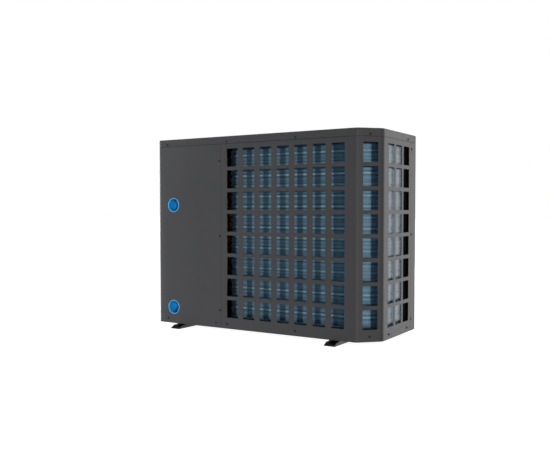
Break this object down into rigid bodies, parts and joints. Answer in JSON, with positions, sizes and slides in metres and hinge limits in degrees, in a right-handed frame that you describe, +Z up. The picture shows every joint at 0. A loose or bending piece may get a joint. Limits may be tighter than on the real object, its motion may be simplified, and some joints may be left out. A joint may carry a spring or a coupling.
{
  "type": "heat pump unit",
  "caption": "Horizontal-discharge pool heat pump in a dark sheet-metal casing with a wrapped air-inlet grille, finned coil, axial fan and rear water sockets.",
  "frame": {"origin": "on the ground the feet stand on, within 4 mm of the middle of the bounding box", "axes": "+Z up; +Y out of the rear air-inlet face with the water sockets; +X towards the compressor end; the fan blows out along -Y"},
  "size_m": [0.967, 0.455, 0.755],
  "materials": {
    "case_paint": "dark grey powder coat, fine texture",
    "foot_paint": "black powder coat",
    "screw_black": "blackened steel",
    "fin_blue": "blue hydrophilic coated aluminium fins",
    "copper": "drawn copper, slightly tarnished",
    "brass": "turned brass",
    "galvanised": "galvanised sheet",
    "steel": "machined steel",
    "aluminium": "extruded aluminium",
    "motor_grey": "grey enamel on cast aluminium",
    "black_enamel": "black enamel",
    "black_plastic": "moulded black plastic",
    "fan_plastic": "glass-filled dark grey plastic",
    "blue_plastic": "blue moulded plastic",
    "pvc_grey": "light grey PVC",
    "dark_pvc": "dark grey PVC",
    "titanium": "titanium tube",
    "rubber": "black rubber",
    "board_green": "circuit board",
    "display_black": "dark display window",
    "coil_dark_blue": "dark blue moulded coil"
  },
  "bodies": {
    "casing": {"base_pan": "case_paint", "foot_rail_compressor_end": "foot_paint", "foot_rail_coil_end": "foot_paint", "top_cover": "case_paint", "service_panel": "case_paint", "grille_panel": "case_paint", "front_panel": "case_paint", "bell_mouth": "black_plastic", "fan_guard": "black_plastic", "motor_housing": "motor_grey", "motor_stator": "copper", "motor_bearings": "steel", "motor_bracket": "galvanised", "motor_screws": "steel", "fin_pack": "fin_blue", "coil_tubes": "copper", "return_bends": "copper", "coil_end_plate_rear": "galvanised", "coil_end_plate_side": "black_enamel", "gas_header": "copper", "liquid_header": "copper", "partition": "galvanised", "compressor": "black_enamel", "accumulator": "black_enamel", "compressor_grommets": "rubber", "compressor_studs": "steel", "terminal_cover": "black_plastic", "discharge_pipe": "copper", "suction_pipe": "copper", "four_way_valve": "brass", "valve_solenoid": "coil_dark_blue", "coil_gas_pipe": "copper", "exchanger_gas_pipe": "copper", "liquid_pipe": "copper", "filter_drier": "copper", "expansion_valve": "brass", "expansion_valve_coil": "black_plastic", "exchanger_shell": "pvc_grey", "exchanger_top_cap": "dark_pvc", "exchanger_bottom_cap": "dark_pvc", "titanium_coil": "titanium", "water_outlet_socket": "blue_plastic", "water_inlet_socket": "blue_plastic", "control_box": "galvanised", "control_box_lid": "galvanised", "circuit_board": "board_green", "heat_sink": "aluminium", "terminal_block": "black_plastic", "display_bezel": "black_plastic", "display_glass": "display_black", "cable_gland": "black_plastic", "gland_nut": "black_plastic", "carry_handle": "black_plastic", "drain_nipple": "black_plastic", "cover_screws": "screw_black", "base_screws": "screw_black", "panel_screws": "screw_black"},
    "fan": {"fan_rotor": "fan_plastic", "motor_shaft": "steel", "fan_nut": "steel"}
  },
  "joints": [
    {"name": "fan_spin", "type": "hinge", "parent": "casing", "child": "fan", "pos_m": [-0.135, -0.14, 0.385], "axis": [0, -1, 0], "continuous": true}
  ]
}
